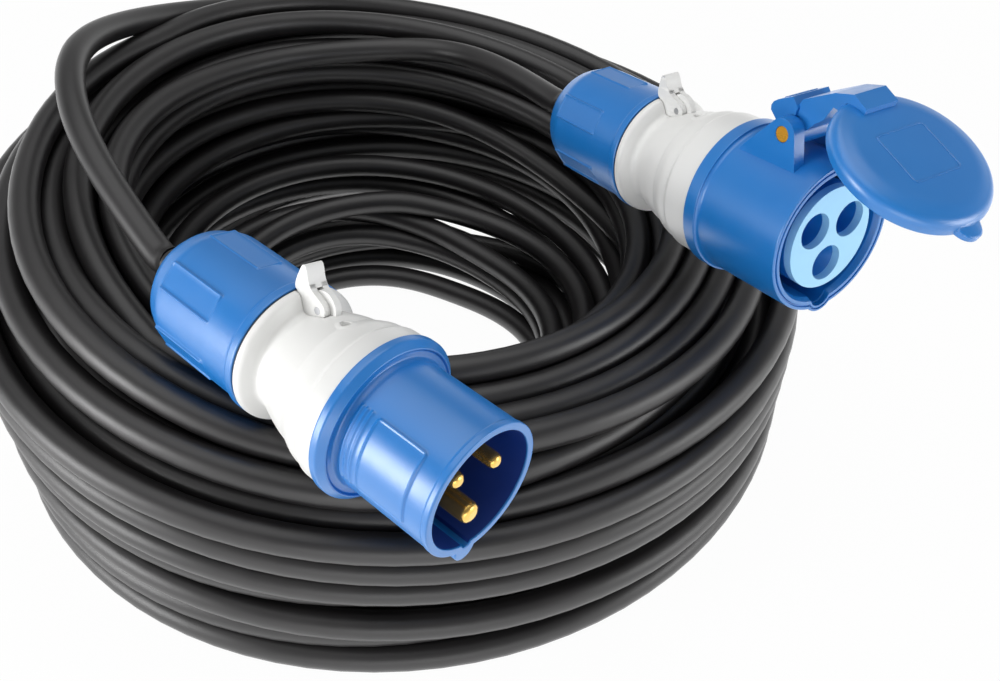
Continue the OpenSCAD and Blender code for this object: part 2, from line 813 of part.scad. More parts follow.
plate_front = 0.5;
plate_back = 3.5;
counterbore_r = 6.4;
counterbore = 9;
sleeve_front = 10.5;
conn_pin_back = conn_floor + carrier_flange + carrier_len - terminal_len;

// The socket faces its plug, so live and neutral change sides
module conn_sleeve(angle, r) {
  color(brass) in_conn() at_contact(angle) contact_sleeve(r, sleeve_front, conn_pin_back);
}
module connector_live_sleeve() { conn_sleeve(neutral_a, line_pin_r); }
module connector_neutral_sleeve() { conn_sleeve(live_a, line_pin_r); }
module connector_earth_sleeve() { conn_sleeve(earth_a, earth_pin_r); }

module connector_terminal_screws() {
  color(steel) in_conn() {
    at_contact(live_a) terminal_screw(line_pin_r, conn_pin_back);
    at_contact(neutral_a) terminal_screw(line_pin_r, conn_pin_back);
    at_contact(earth_a) terminal_screw(earth_pin_r, conn_pin_back);
  }
}

module conn_wire(angle) {
  in_conn() wire(angle, conn_wire_from, conn_pin_back + terminal_len);
}
module connector_live_wire() { color(wire_brown) conn_wire(neutral_a); }
module connector_neutral_wire() { color(wire_blue) conn_wire(live_a); }
module connector_earth_wire() { color(wire_green) conn_wire(earth_a); }

module connector_rear_body() {
  color(white) in_conn() translate([0, 0, -ring_back]) rear_body(conn_straight);
}
module connector_nut_seal() {
  color(dark_grey) in_conn() translate([0, 0, -conn_nut_front]) nut_seal();
}
module connector_gland_nut() {
  color(blue) in_conn() translate([0, 0, -conn_nut_front]) gland_nut();
}
module connector_clamping_ring() {
  color(white) in_conn() translate([0, 0, -conn_nut_front]) clamping_ring();
}
module connector_cable_grommet() {
  color(black) in_conn() translate([0, 0, -conn_nut_front]) cable_grommet();
}
module connector_cord_end() { in_conn() cord_end(conn_nut_front); }
module connector_latch_lever() {
  color(white) in_conn() at_lever(ring_back, conn_straight) latch_lever();
}
module connector_latch_pin() {
  color(steel) in_conn() at_lever(ring_back, conn_straight) latch_pin();
}

// ---------- lid ----------

// The lid is drawn closed over the mouth and then turned open
module connector_lid() {
  color(blue) in_conn() lid_opened() difference() {
    union() {
      turned([[0, -lid_lift], [lid_r - 0.8, -lid_lift], [lid_r, -lid_lift - 0.8],
              [lid_r, -lid_lift - lid_h + 2], [lid_r - 1.8, -lid_lift - lid_h],
              [0, -lid_lift - lid_h]]);
      translate([0, 0.5 - lid_r, lid_lift]) cylinder(r = nose_tab_r, h = lid_h - 1.5);
      lid_arm();
      cross_bar(hinge_hub_r, hub_half, hinge_y, hinge_back);
      thumb_tab();
    }
    bar(gasket_r, -lid_lift - gasket_t, 0);
    bar(gasket_r - gasket_w - 0.2, -lid_lift - lid_h + lid_wall, 0);
    cross_bar(hinge_pin_r + run_fit, ear_out, hinge_y, hinge_back);
    cross_bar(spring_room_r, spring_half, hinge_y, hinge_back);
    translate([-lid_label_w / 2, -lid_label_w / 2, lid_lift + lid_h - 0.3])
      cube([lid_label_w, lid_label_w, over]);
  }
}

spring_room_r = hinge_pin_r + 1.9;
spring_half = 5;
spring_wire = 0.9;
spring_turns = 6;

// Arm from the cap back over the body to the hub
module lid_arm() {
  difference() {
    translate([-hub_half + 1, 0, 0])
      rotate([90, 0, 90])
        linear_extrude(2 * hub_half - 2)
          polygon([[hinge_y - 3, -hinge_back + 2], [hinge_y - 4.6, -hinge_back + 7.4],
                   [lid_r - 4, lid_lift], [hump_y, lid_lift + 3],
                   [hump_y, lid_lift + lid_h + 2], [lid_r - 2, lid_lift + lid_h + 1.6],
                   [hinge_y + 3.6, -hinge_back + 10.4], [hinge_y + 4.4, -hinge_back]]);
    bar(conn_r + 0.6, -lid_lift, 30);
  }
}

// Thumb tab that stands up behind the hinge
module thumb_tab() {
  translate([-hub_half, 0, 0])
    rotate([90, 0, 90])
      linear_extrude(2 * hub_half)
        translate([hinge_y, -hinge_back])
          polygon([[0, -4.4], [11.1, -1], [11.8, 1.4], [10.8, 3.8], [6.6, 9], [3, 7.4]]);
}

module connector_lid_gasket() {
  color(dark_grey) in_conn() lid_opened()
    tube(gasket_r - seat_fit, gasket_r - gasket_w, -lid_lift - gasket_t, -lid_lift);
}

module lid_hinge_pin() {
  color(brass) in_conn() {
    cross_bar(hinge_pin_r, ear_out - 0.8, hinge_y, hinge_back);
    for (side = [-1, 1])
      translate([side * (ear_out - 0.8) - (side < 0 ? 0.6 : 0), hinge_y, -hinge_back])
        rotate([0, 90, 0]) cylinder(r = hinge_head_r, h = 0.6);
  }
}

// Closing spring wound round the pin inside the lid's hub
module lid_spring() {
  coil_r = hinge_pin_r + 0.35 + spring_wire;
  steps = spring_turns * 8;
  span = 2 * spring_half - 2 * spring_wire;
  route = [for (i = [0:steps])
    [-span / 2 + span * i / steps, coil_r * sin(45 * i), coil_r * cos(45 * i)]];
  color(steel) in_conn() lid_opened()
    translate([0, hinge_y, -hinge_back]) swept(route, spring_wire / 2, tube_sides);
}

// ---------- nodes ----------

cord_coil_core();
cord_coil_turns();
plug_cord_tail();
connector_cord_tail();
plug_cord_end();
plug_front_housing();
plug_pin_carrier();
plug_live_pin();
plug_neutral_pin();
plug_earth_pin();
plug_terminal_screws();
plug_live_wire();
plug_neutral_wire();
plug_earth_wire();
plug_rear_body();
plug_nut_seal();
plug_gland_nut();
plug_clamping_ring();
plug_cable_grommet();
plug_latch_lever();
plug_latch_pin();
connector_cord_end();
connector_housing();
connector_face_plate();
connector_contact_carrier();
connector_live_sleeve();
connector_neutral_sleeve();
connector_earth_sleeve();
connector_terminal_screws();
connector_live_wire();
connector_neutral_wire();
connector_earth_wire();
connector_rear_body();
connector_nut_seal();
connector_gland_nut();
connector_clamping_ring();
connector_cable_grommet();
connector_latch_lever();
connector_latch_pin();
connector_lid();
connector_lid_gasket();
lid_hinge_pin();
lid_spring();
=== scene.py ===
import json
import math
import bmesh
import bpy
import numpy as np
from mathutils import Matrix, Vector
from mathutils.geometry import tessellate_polygon


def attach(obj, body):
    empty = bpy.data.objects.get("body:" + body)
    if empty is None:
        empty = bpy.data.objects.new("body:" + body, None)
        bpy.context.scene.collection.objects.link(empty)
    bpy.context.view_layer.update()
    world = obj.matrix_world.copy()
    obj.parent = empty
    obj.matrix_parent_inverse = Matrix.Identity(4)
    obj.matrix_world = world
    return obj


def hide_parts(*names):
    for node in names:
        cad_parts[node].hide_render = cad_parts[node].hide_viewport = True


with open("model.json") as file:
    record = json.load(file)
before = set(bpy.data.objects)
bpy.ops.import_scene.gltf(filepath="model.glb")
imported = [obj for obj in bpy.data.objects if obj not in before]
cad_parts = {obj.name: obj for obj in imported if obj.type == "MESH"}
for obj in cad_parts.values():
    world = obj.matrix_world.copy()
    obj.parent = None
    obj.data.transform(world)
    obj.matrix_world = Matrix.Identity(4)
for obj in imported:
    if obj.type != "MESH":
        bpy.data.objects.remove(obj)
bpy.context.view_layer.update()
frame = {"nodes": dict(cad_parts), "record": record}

nodes = frame["nodes"]
MM = 0.001

# ---------------------------------------------------------------- camera

camera = bpy.data.objects.new("camera", bpy.data.cameras.new("camera"))
bpy.context.scene.collection.objects.link(camera)
camera.location = (0.03698, -0.35308, 0.34)
camera.rotation_euler = (math.radians(47.5), 0, 0)
camera.data.lens = 36
camera.data.sensor_width = 36
camera.data.clip_start = 0.01
bpy.context.scene.camera = camera

# ---------------------------------------------------------------- places, in mm

CABLE_D = 11.2
COIL_AXIS = np.array([-9.02, 11.92, 0.0])
COIL_R = 172.0
COIL_TOP = 93.5


def turned(x=0.0, z=0.0):
    """Matrix of a turn of x degrees about X, then z degrees about Z."""
    a, b = math.radians(x), math.radians(z)
    about_x = np.array([[1, 0, 0], [0, math.cos(a), -math.sin(a)], [0, math.sin(a), math.cos(a)]])
    about_z = np.array([[math.cos(b), -math.sin(b), 0], [math.sin(b), math.cos(b), 0], [0, 0, 1]])
    return about_z @ about_x


class Head:
    """A plug's or connector's own frame: +z out of the mouth, depths counted back from it,
    +y to the lever's side. heading, rise and roll turn its axis as in the part."""

    def __init__(self, name, mouth, heading, rise, roll, white_at, straight):
        self.name = name
        self.mouth = np.array(mouth) + COIL_AXIS
        self.turn = turned(90 - rise, heading + 90) @ turned(0, roll)
        self.white_at = white_at
        self.straight = straight
        self.neck_at = white_at + straight + 25
        self.nut_at = self.neck_at + 8.8
        self.lever_at = self.neck_at - 4.5
        self.cord_at = self.nut_at + 62

    def out(self, points):
        """Points of this frame in the row frame."""
        return np.asarray(points, float) @ self.turn.T + self.mouth


PLUG = Head("plug", (41, -188, 120.98), -42, -1.5, -19, 41.5, 9)
CONNECTOR = Head("connector", (157, -95, 138.98), -57, 8, -4, 42.5, 14)

# ---------------------------------------------------------------- cable route

# The free stretches follow the part's own points, counted from the coil's axis
FROM_PLUG = [(-85, -72, 130), (-103, -50, 142), (-118, -22, 151), (-126, 8, 154), (-126, 40, 148),
             (-119, 74, 138), (-106, 106, 127), (-86, 134, 117), (-60, 155, 108), (-30, 169, 100),
             (2, 175, 92), (36, 175, 82), (69, 169, 70), (100, 157, 57), (126, 137, 43),
             (147, 112, 29), (163, 87, 16), (168, 67, 7)]
TO_CONNECTOR = [(-9, 107, 107), (12, 109, 107), (31, 99, 108), (46, 82, 110), (58, 62, 113)]
WOUND_FROM = 10.0
STATIONS = 90
LAST_TURN = 0.764


def smooth_step(x):
    """3x^2 - 2x^3 between 0 and 1, level outside."""
    x = np.clip(x, 0, 1)
    return x * x * (3 - 2 * x)


def through(points, per_span):
    """Catmull-Rom curve through the points, per_span steps between two."""
    p = np.asarray(points, float)
    p = np.vstack([2 * p[0] - p[1], p, 2 * p[-1] - p[-2]])
    t = (np.arange(per_span) / per_span)[None, :, None]
    a, b, c, d = p[:-3, None], p[1:-2, None], p[2:-1, None], p[3:, None]
    curve = 0.5 * (2 * b + (c - a) * t + (2 * a - 5 * b + 4 * c - d) * t ** 2
                   + (3 * b - a - 3 * c + d) * t ** 3)
    return np.vstack([curve.reshape(-1, p.shape[1]), p[-2]])


def wound_turns(rng):
    """Radius and height of each turn: layer on layer from the floor up, each layer running
    in or out between the outer wall and the sloping inner side, a little out of true."""
    turns, layer, height = [], 0, CABLE_D / 2
    while height < COIL_TOP + 2:
        z = min(height, COIL_TOP)
        over = max(0.0, min(z, COIL_TOP - 1.5) - (COIL_TOP - 42)) / 42
        inner, outer = 62 + z / math.tan(math.radians(58)), COIL_R - 42 * (1 - math.sqrt(1 - over ** 2))
        if height > COIL_TOP - 6:
            inner, outer = 112, 134
        count = max(2, round((outer - inner) / 16.5) + 1)
        radii = np.linspace(outer, inner, count)[:: -1 if layer % 2 else 1]
        loose = np.full(count, 5.0)
        loose[[0, -1]] = 2
        turns += list(zip(radii + loose * rng.uniform(-1, 1, count), z + rng.uniform(-2, 2, count)))
        layer, height = layer + 1, height + 10.2
    return turns + [(107.4, 104.0)]


def wander(rng, s, period):
    """Smooth noise along the cable: random values every period turns, eased between."""
    values = rng.normal(0, 1, int(s[-1] / period) + 3)
    i = (s / period).astype(int)
    f = smooth_step(s / period - i)
    return values[i] * (1 - f) + values[i + 1] * f


def crossing(points, angles):
    """Radius and height at which a free stretch crosses each station, nan where it doesn't."""
    p = through(points, 6)
    turn = np.unwrap(np.arctan2(p[:, 1], p[:, 0]))
    out = np.full((2, len(angles)), np.nan)
    for k, angle in enumerate(angles):
        for whole in range(-2, 3):
            gap = turn - angle - 2 * math.pi * whole
            i = np.flatnonzero(gap[:-1] * gap[1:] <= 0)
            if len(i):
                f = gap[i[0]] / (gap[i[0]] - gap[i[0] + 1] + 1e-12)
                q = p[i[0]] * (1 - f) + p[i[0] + 1] * f
                out[:, k] = math.hypot(q[0], q[1]), q[2]
    return out


# Round bars that stand for the plug and the connector while the turns settle under them:
# head, depth from, depth to, radius
BARS = [(PLUG, 0, 42, 23), (PLUG, 35, 48, 28.4), (PLUG, 42, 84.3, 23.4), (PLUG, 84.3, 140, 24),
        (PLUG, 140, 160, 6.5), (CONNECTOR, 0, 54, 28.2), (CONNECTOR, 54, 90.3, 23.4),
        (CONNECTOR, 90.3, 146, 24), (CONNECTOR, 146, 152.3, 6.5)]


def under_heads(r, z, angle):
    """Strand points that lie in a bar are moved down and away from its axis."""
    p = np.stack([r * np.cos(angle), r * np.sin(angle), z], 1)
    for head, front, back, radius in BARS:
        a, b = head.out([[0, 0, -front], [0, 0, -back]]) - COIL_AXIS
        length = np.linalg.norm(b - a)
        along = (b - a) / length
        off = p - a - np.clip((p - a) @ along, 0, length)[:, None] * along
        distance = np.linalg.norm(off, axis=1)
        short = np.clip(radius + CABLE_D / 2 + 0.2 - distance, 0, None)
        way = 0.6 * off / np.maximum(distance, 1e-3)[:, None] + [0, 0, -0.8]
        p += 0.7 * short[:, None] * way / np.linalg.norm(way, axis=1)[:, None]
    return np.hypot(p[:, 0], p[:, 1]), p[:, 2]


def settled_coil(seed=4, steps=260, left_rise=1.6, loose=1.35, inward=54.0, outward=13.0):
    """The coil as one long line. It starts as plain turns that pass from one to the next at
    random places, and wander. Then, step by step, each point is drawn to its turn, sags,
    is evened out along the line, and is pushed off the strands beside it until they lie a
    diameter apart, on the floor, inside the outer wall and under the plug and connector."""
    rng = np.random.default_rng(seed)
    turns = wound_turns(rng)
    total = int(round((len(turns) - 1 + LAST_TURN) * STATIONS)) + 1
    s = np.arange(total) / STATIONS
    r, z = np.full(total, turns[0][0]), np.full(total, CABLE_D / 2)
    turns[0] = (turns[0][0], CABLE_D / 2)
    for i in range(1, len(turns)):
        start, width = i + rng.uniform(-0.35, 0.35), rng.uniform(0.35, 0.9)
        eased = smooth_step((s - start) / width + 0.5)
        r += (turns[i][0] - turns[i - 1][0]) * eased
        z += (turns[i][1] - turns[i - 1][1]) * eased
    for period, far in ((1.7, 3.0 * loose), (0.83, 1.8 * loose), (0.41, 0.75)):
        r += far * wander(rng, s, period)
        z += 0.5 * far * wander(rng, s, period)
    angle = math.radians(WOUND_FROM) - 2 * math.pi * s

    # The bundle is narrower and higher on the left, with a rounder shoulder. Its lowest inner
    # turns lie further in at the back right, and all inner turns further out at the front
    # right. The last third of a turn is led to where the free stretch begins.
    left = (0.5 * (1 + np.cos(angle - math.radians(165)))) ** 1.5
    inner = smooth_step((104 - r) / 24) * smooth_step((44 - z) / 14)
    inner_r = r + 12 - inward * (0.5 * (1 + np.cos(angle - math.radians(55)))) ** 2
    z = np.minimum(z * (1 + (left_rise - 1) * left), 136)
    r = COIL_R - (COIL_R - r) * (1 - (1 - left_rise ** -0.8) * left)
    r -= 0.01 * left * np.clip(z - 95, 0, None) * np.clip(r - 100, 0, None)
    r += inner * (inner_r - r)
    front = (0.5 * (1 + np.cos(angle + math.radians(48)))) ** 3
    r += outward * front * smooth_step((132 - r) / 24)
    led = smooth_step((s - s[-1] + 0.35) / 0.35)
    r, z = r + led * (107.4 - r[-1]), z + led * (107.0 - z[-1])
    home_r, home_z = r.copy(), z.copy()

    # One row for each station, one column for each turn that crosses it
    columns = math.ceil(total / STATIONS)
    spare = columns * STATIONS - total

    def by_station(x):
        return np.concatenate([x, np.full(spare, 1e5)]).reshape(columns, STATIONS).T

    stations = angle[:STATIONS]
    plug_side = [PLUG.out([0, 0, -PLUG.cord_at]) - COIL_AXIS] + FROM_PLUG
    connector_side = TO_CONNECTOR[1:] + [CONNECTOR.out([0, 0, -CONNECTOR.cord_at]) - COIL_AXIS]
    fixed = np.nan_to_num([crossing(plug_side, stations), crossing(connector_side, stations)], nan=1e4)
    apart = CABLE_D * 1.004
    same = np.arange(columns)
    for step in range(steps):
        firm = 1.0 if step < 0.75 * steps else 0.25
        r += 0.012 * firm * (home_r - r)
        z += 0.012 * firm * (home_z - z) - 0.04 * firm
        even = 0.25 if step < 0.8 * steps else 0.125
        for _ in range(2):
            r[1:-1] += even * (r[:-2] + r[2:] - 2 * r[1:-1])
            z[1:-1] += even * (z[:-2] + z[2:] - 2 * z[1:-1])
        r[:6], z[:6] = COIL_R, CABLE_D / 2
        r[-3:], z[-3:] = home_r[-3:], home_z[-3:]
        for _ in range(3):
            row_r, row_z = by_station(r), by_station(z)
            dr, dz = row_r[:, :, None] - row_r[:, None], row_z[:, :, None] - row_z[:, None]
            distance = np.sqrt(dr * dr + dz * dz)
            distance[:, same, same] = 1e6
            short = np.clip(apart - distance, 0, None)
            push = 0.55 * short / np.maximum(distance, 1e-3)
            share = np.sqrt(np.maximum((short > 0).sum(2), 1))
            move_r, move_z = (push * dr).sum(2) / share, (push * dz).sum(2) / share
            for at_r, at_z in fixed:
                dr, dz = row_r - at_r[:, None], row_z - at_z[:, None]
                distance = np.sqrt(dr * dr + dz * dz)
                push = np.clip(apart - distance, 0, None) / np.maximum(distance, 1e-3)
                move_r, move_z = move_r + push * dr, move_z + push * dz
            r = np.minimum((row_r + move_r).T.reshape(-1)[:total], COIL_R + 0.3)
            z = np.maximum((row_z + move_z).T.reshape(-1)[:total], CABLE_D / 2)
            r, z = under_heads(r, z, angle)
    return np.stack([r * np.cos(angle), r * np.sin(angle), z], 1)


coil = settled_coil()
plug_exit = PLUG.out([[0, 0, -PLUG.cord_at], [0, 0, -PLUG.cord_at - CABLE_D]]) - COIL_AXIS
connector_exit = CONNECTOR.out([[0, 0, -CONNECTOR.cord_at - CABLE_D], [0, 0, -CONNECTOR.cord_at]]) - COIL_AXIS
lead_in = through(np.vstack([plug_exit, FROM_PLUG[1:], coil[:2]]), 6)[:-7]
lead_out = through(np.vstack([coil[-1:], TO_CONNECTOR[1:], connector_exit]), 6)[1:]


def evened(line, times=60, step=3.0):
    """The line in even steps, each point drawn times over to the middle of its neighbours;
    the pull fades out over the last 30 mm at both ends."""
    run = np.concatenate([[0], np.cumsum(np.linalg.norm(np.diff(line, axis=0), axis=1))])
    at = np.linspace(0, run[-1], round(run[-1] / step))
    p = np.stack([np.interp(at, run, line[:, i]) for i in range(3)], 1)
    i = np.arange(len(p))
    pull = 0.25 * smooth_step(np.minimum(i, i[::-1]) / 9 - 0.2)[1:-1, None]
    for _ in range(times):
        p[1:-1] += pull * (p[:-2] + p[2:] - 2 * p[1:-1])
    return p


lead_in = evened(np.vstack([lead_in, coil[:6]]))
lead_out = evened(np.vstack([coil[-50:], lead_out]))
cable_line = (np.vstack([lead_in[:-1], coil[5:-50], lead_out]) + COIL_AXIS) * MM

# ---------------------------------------------------------------- meshes


def piece(name, points, faces, body, *replaced, smooth=True, uv=None, ride=True):
    """A mesh from points in metres, and lists of faces, riding on a body of the part."""
    mesh = bpy.data.meshes.new(name)
    mesh.from_pydata(np.asarray(points).tolist(), [], [list(map(int, f)) for f in faces])
    mesh.update()
    if smooth:
        mesh.polygons.foreach_set("use_smooth", np.ones(len(mesh.polygons), bool))
    if uv is not None:
        layer = mesh.uv_layers.new(name="surface")
        corner = np.empty(len(mesh.loops), np.int32)
        mesh.loops.foreach_get("vertex_index", corner)
        layer.data.foreach_set("uv", np.asarray(uv, np.float32)[corner].reshape(-1))
    obj = bpy.data.objects.new(name, mesh)
    bpy.context.scene.collection.objects.link(obj)
    if ride:
        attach(obj, body)
    if replaced:
        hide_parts(*replaced)
    return obj


def grid_faces(rows, columns, loop=False):
    """Quads of a grid whose last column joins the first; loop joins the last row too."""
    i = np.arange(rows if loop else rows - 1)[:, None] * columns
    below = (np.arange(rows if loop else rows - 1)[:, None] + 1) % rows * columns
    j = np.arange(columns)[None]
    k = (j + 1) % columns
    return np.stack([i + j, i + k, below + k, below + j], 2).reshape(-1, 4)


def tube(points, radius, sides):
    """A round tube along the points: circles square to the line, each begun from the level
    direction across it, and their radius in metres."""
    p = np.asarray(points)
    t = np.gradient(p, axis=0)
    t /= np.linalg.norm(t, axis=1)[:, None]
    across = np.cross(t, [0, 0, 1.0])
    across /= np.linalg.norm(across, axis=1)[:, None]
    up = np.cross(across, t)
    a = np.arange(sides) * 2 * math.pi / sides
    ring = np.cos(a)[None, :, None] * across[:, None] + np.sin(a)[None, :, None] * up[:, None]
    grid = p[:, None] + radius * ring
    run = np.concatenate([[0], np.cumsum(np.linalg.norm(np.diff(p, axis=0), axis=1))])
    uv = np.stack(np.broadcast_arrays(a[None] / (2 * math.pi), run[:, None]), 2)
    n = len(p)
    ends = [list(range(sides))[::-1], list(range((n - 1) * sides, n * sides))]
    return grid.reshape(-1, 3), list(grid_faces(n, sides)[:, ::-1]) + ends, uv.reshape(-1, 2)


cable_points, cable_faces, cable_uv = tube(cable_line, CABLE_D / 2 * MM, 16)
cable = piece("cable", cable_points, cable_faces, "cord", "cord_coil_core", "cord_coil_turns",
              "plug_cord_tail", "connector_cord_tail", uv=cable_uv)

# ---------------------------------------------------------------- plug and connector pieces

HINGE = (16.4, 34.4)  # depth and height of the lid's hinge pin
CONTACTS = (("live", 150, 2.5), ("neutral", 30, 2.5), ("earth", -90, 3.5))  # angle, pin's radius
CONTACT_CIRCLE = 9.45


def on_contact_circle(angle):
    return CONTACT_CIRCLE * math.cos(math.radians(angle)), CONTACT_CIRCLE * math.sin(math.radians(angle))


# Outlines are turned round a head's axis. A corner is (radius, depth, cut), or (radius,
# depth, cut, key, mid) where a key of radius key, its middle mid below the axis, lifts the ring.


def outline(outer, inner=(), closed=True, steps=4, guard=0.25):
    """Rows of radius, depth, key, mid and skin (1 outside, 0 inside) along the corners, each
    corner rounded by the curve (1-t)^2 a + 2t(1-t) corner + t^2 b between its two cuts."""
    rows = np.array([[*c, 0, 0][:5] + [1] for c in outer] + [[*c, 0, 0][:5] + [0] for c in inner], float)
    cut, p = rows[:, 2], rows[:, [0, 1, 3, 4, 5]]
    made = []
    for i in range(len(p)):
        if not closed and i in (0, len(p) - 1):
            made.append(p[i])
            continue
        ways = [p[(i + step) % len(p)] - p[i] for step in (-1, 1)]
        spans = [np.hypot(*way[:2]) for way in ways]
        back = min([cut[i]] + [0.45 * span for span in spans])
        a, b = (p[i] + way * back / span for way, span in zip(ways, spans))
        for way, span, first in zip(ways, spans, (True, False)):
            if first and span > 2 * back + 2 * guard:
                made.append(p[i] + way * (back + guard) / span)
        t = np.linspace(0, 1, steps + 1)[:, None]
        made += list((1 - t) ** 2 * a + 2 * t * (1 - t) * p[i] + t ** 2 * b)
        if spans[1] > 2 * back + 2 * guard:
            made.append(p[i] + ways[1] * (back + guard) / spans[1])
    return np.array(made)


def stations(start, end, marks, coarse, fine, reach):
    """Places from start to end, coarse apart, and fine apart within reach of a mark."""
    low, high = min(start, end), max(start, end)
    places = [low]
    while places[-1] < high - 1e-6:
        here = places[-1]
        close = any(m - reach <= here + 1e-6 < m + reach for m in marks)
        ahead = [m - reach - here for m in marks if m - reach > here + 0.3 * fine]
        places.append(here + min([fine if close else coarse] + ahead))
    places[-1] = high
    return np.array(places if start < end else places[::-1])


def finely(rows, marks, coarse=2.0, fine=0.25, reach=0.8):
    """The outline with more rows where it runs past one of the marks along the axis."""
    made = []
    for a, b in zip(rows, np.roll(rows, -1, axis=0)):
        made.append(a)
        if a[4] > 0.5 and b[4] > 0.5 and abs(b[1] - a[1]) > 2 * fine:
            t = (stations(a[1], b[1], marks, coarse, fine, reach)[1:-1] - a[1]) / (b[1] - a[1])
            made += [a + (b - a) * x for x in t]
    return np.array(made)


def around(marks=(), keys=(), coarse=3.0, fine=0.7, reach=2.0):
    """Angles for the columns of a turned mesh: close together at the marks, and along the
    round side of each key, given as its radius and the distance of its middle."""
    angles = list(stations(0, 360, sorted(m % 360 for m in marks), coarse, fine, reach)[:-1])
    side = np.radians(np.arange(-112.5, 113, 7.5))
    for radius, mid in keys:
        angles += list(270 + np.degrees(np.arctan2(radius * np.sin(side), mid + radius * np.cos(side))))
    angles = np.sort(angles)
    return angles[np.diff(angles, append=400) > 0.12]


def revolved(rows, angles, relief=None, closed=True):
    """Rings about the axis, one for each outline row. A key lifts its ring to
    mid cos a + sqrt(key^2 - mid^2 sin^2 a), a counted from straight down."""
    r, depth, key, mid, skin = (rows[:, i:i + 1] for i in range(5))
    a = np.radians(angles)[None]
    down = a + math.pi / 2
    under = key ** 2 - (mid * np.sin(down)) ** 2
    lifted = mid * np.cos(down) + np.sqrt(np.clip(under, 0, None))
    r = np.maximum(r, np.where((under > 0) & (np.cos(down) > 0), lifted, 0))
    if relief:
        r = np.where(skin > 0.5, relief(r, depth, a), r)
    grid = np.stack([r * np.cos(a), r * np.sin(a), -depth + 0 * r], 2)
    n, m = grid.shape[:2]
    faces = list(grid_faces(n, m, loop=closed))
    if not closed:
        faces += [list(range(m)), list(range((n - 1) * m, n * m))]
    return grid.reshape(-1, 3), faces


def circle(radius, x=0.0, y=0.0, corners=64):
    a = np.arange(corners) * 2 * math.pi / corners
    return np.stack([x + radius * np.cos(a), y + radius * np.sin(a)], 1)


def rounded_box(width, height, radius):
    """Corners of a rectangle with quarter circles at its corners."""
    a = np.radians(np.arange(0, 91, 15))
    arc = np.stack([np.cos(a), np.sin(a)], 1) * radius
    middle = np.array([width / 2 - radius, height / 2 - radius])
    quarter = [arc + middle, arc[::-1] * [-1, 1] + middle * [-1, 1], -arc - middle,
               arc[::-1] * [1, -1] + middle * [1, -1]]
    return np.vstack(quarter)


def slab(loops, low, high, across=False):
    """A plate with the first loop as its edge and the others as holes, from low to high
    along the axis, or across it where the loops are drawn in depth and height."""
    flat = np.vstack(loops)
    corners = tessellate_polygon([[Vector((*p, 0)) for p in loop] for loop in loops])
    n = len(flat)
    if across:
        points = [np.stack([np.full(n, x), flat[:, 1], -flat[:, 0]], 1) for x in (low, high)]
    else:
        points = [np.stack([flat[:, 0], flat[:, 1], np.full(n, z)], 1) for z in (low, high)]
    faces = [c for c in corners] + [[n + i for i in c[::-1]] for c in corners]
    start = 0
    for loop in loops:
        m = len(loop)
        faces += [[start + i, start + (i + 1) % m, n + start + (i + 1) % m, n + start + i]
                  for i in range(m)]
        start += m
    return np.vstack(points), faces


def hull_of(circles, corners=()):
    """Outline round some circles (x, y, radius) and corners, as their convex hull."""
    p = np.vstack([circle(r, x, y, 48) for x, y, r in circles] + [np.reshape(corners, (-1, 2))])
    p = p[np.lexsort((p[:, 1], p[:, 0]))]

    def half(points):
        kept = []
        for q in points:
            while len(kept) > 1 and np.cross(kept[-1] - kept[-2], q - kept[-1]) <= 0:
                kept.pop()
            kept.append(q)
        return kept[:-1]
    return np.array(half(p) + half(p[::-1]))


def head_piece(name, head, parts, body, node, slot, place=None, bevel=0.0):
    """One piece from closed shells in a head's frame, in mm. A bevel rounds edges over 35
    degrees, and weighted normals keep the flats flat."""
    points, faces, start = [], [], 0
    for p, f in parts:
        points.append(p)
        faces += [[start + int(i) for i in face] for face in f]
        start += len(p)
    points = np.vstack(points)
    if place is not None:
        points = place(points)
    obj = piece(name, head.out(points) * MM, faces, body, *([node] if node else []))
    work = bmesh.new()
    work.from_mesh(obj.data)
    bmesh.ops.remove_doubles(work, verts=work.verts, dist=2e-6)
    bmesh.ops.recalc_face_normals(work, faces=work.faces)
    work.to_mesh(obj.data)
    work.free()
    if bevel:
        edge = obj.modifiers.new("edge", "BEVEL")
        edge.width, edge.segments, edge.limit_method = bevel * MM, 3, "ANGLE"
        edge.angle_limit = math.radians(35)
        edge.use_clamp_overlap = True
    obj.modifiers.new("flats", "WEIGHTED_NORMAL").keep_sharp = True
    finished.append((obj, slot))
    return obj


def within(u, v, half_u, half_v, corner):
    """Distance inside a rectangle with rounded corners, less than 0 outside it."""
    qu, qv = np.abs(u) - half_u + corner, np.abs(v) - half_v + corner
    return corner - np.hypot(np.maximum(qu, 0), np.maximum(qv, 0)) - np.minimum(np.maximum(qu, qv), 0)


def ridge(x, half, edge):
    """1 along x = 0, falling to 0 over edge beyond half to both sides."""
    return smooth_step((half + edge - np.abs(x)) / edge)


finished = [(cable, "cable_rubber")]

# Shroud of the plug: lip, bare panel with a thin border, two fine rings beside it, key rib
# with its inside groove, and the dished flange


def shroud_relief(r, depth, a):
    u, v = (np.degrees(a) - 172) * 0.3805, depth - 18.25
    inside = within(u, v, 12.5, 9.75, 1.8)
    lift = 0.3 * smooth_step(inside / 0.4) + 0.3 * ridge(inside - 0.75, 0.12, 0.3)
    for ring in (30.4, 32.4, 34.2):
        lift = lift + 0.45 * ridge(depth - ring, 0.28, 0.3) * smooth_step((12.8 - np.abs(u)) / 0.8)
    return r + np.where(r < 23, lift, 0)


